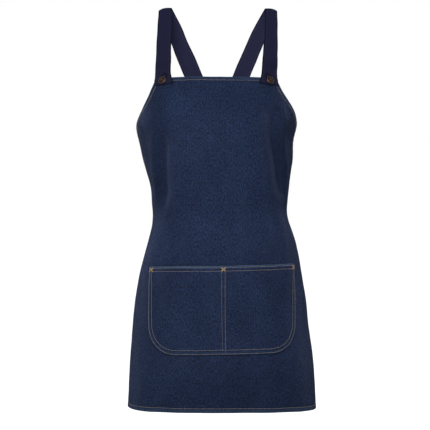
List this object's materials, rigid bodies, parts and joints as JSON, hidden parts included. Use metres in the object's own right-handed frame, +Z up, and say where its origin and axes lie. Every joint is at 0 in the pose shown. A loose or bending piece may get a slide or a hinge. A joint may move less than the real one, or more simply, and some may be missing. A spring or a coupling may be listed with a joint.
{
  "type": "artist smock apron",
  "caption": "Denim artist's apron with bib, wrap-round skirt, divided patch pocket and button-on webbing straps that cross at the back.",
  "frame": {"origin": "midpoint of the shoulder line: between the undersides of the two strap arches where they rest on the wearer's shoulders", "axes": "+Z up; -Y is the front, the way the wearer faces; +X is the wearer's left"},
  "size_m": [0.3946, 0.225, 0.8361],
  "materials": {
    "denim": "indigo twill, matt",
    "webbing": "navy twill webbing, matt",
    "thread": "tan topstitching thread",
    "bartack_thread": "orange tan bartack thread",
    "antique_brass": "antique bronze, worn on the rim",
    "nail_steel": "plated steel nail"
  },
  "bodies": {
    "apron": {"apron_panel": "denim", "armhole_hem_left": "denim", "armhole_hem_right": "denim", "armhole_stitching_left": "thread", "armhole_stitching_right": "thread", "bartack_centre": "bartack_thread", "bartack_left": "bartack_thread", "bartack_right": "bartack_thread", "bib_top_hem": "denim", "bib_top_stitching": "thread", "bottom_hem": "denim", "bottom_hem_stitching": "thread", "box_stitching_left": "thread", "box_stitching_right": "thread", "button_reinforcement_left": "denim", "button_reinforcement_right": "denim", "button_tack_left": "nail_steel", "button_tack_right": "nail_steel", "buttonhole_stitching_left": "thread", "buttonhole_stitching_right": "thread", "pocket_divider_stitching": "thread", "pocket_inner_stitching": "thread", "pocket_mouth_hem": "denim", "pocket_mouth_stitching": "thread", "pocket_outer_stitching": "thread", "pocket_panel": "denim", "side_hem_left": "denim", "side_hem_right": "denim", "side_stitching_left": "thread", "side_stitching_right": "thread", "strap_left_back": "webbing", "strap_left_front_end": "webbing", "strap_right_back": "webbing", "strap_right_front_end": "webbing"},
    "strap_left": {"strap_left_shoulder": "webbing"},
    "strap_right": {"strap_right_shoulder": "webbing"},
    "button_left": {"button_cap_left": "antique_brass", "button_collar_left": "antique_brass"},
    "button_right": {"button_cap_right": "antique_brass", "button_collar_right": "antique_brass"}
  },
  "joints": [
    {"name": "strap_left_swing", "type": "hinge", "parent": "apron", "child": "strap_left", "pos_m": [-0.10976, -0.0516, -0.13237], "axis": [-0.5034, -0.7607, 0.4098], "range_deg": [-8, 18]},
    {"name": "strap_right_swing", "type": "hinge", "parent": "apron", "child": "strap_right", "pos_m": [0.10976, -0.0516, -0.13237], "axis": [-0.5059, 0.7578, -0.4121], "range_deg": [-8, 18]},
    {"name": "button_left_turn", "type": "hinge", "parent": "apron", "child": "button_left", "pos_m": [-0.108, -0.06891, -0.1586], "axis": [-0.4925, -0.74, 0.4581], "continuous": true},
    {"name": "button_right_turn", "type": "hinge", "parent": "apron", "child": "button_right", "pos_m": [0.108, -0.06891, -0.1586], "axis": [0.4925, -0.74, 0.4581], "continuous": true}
  ]
}
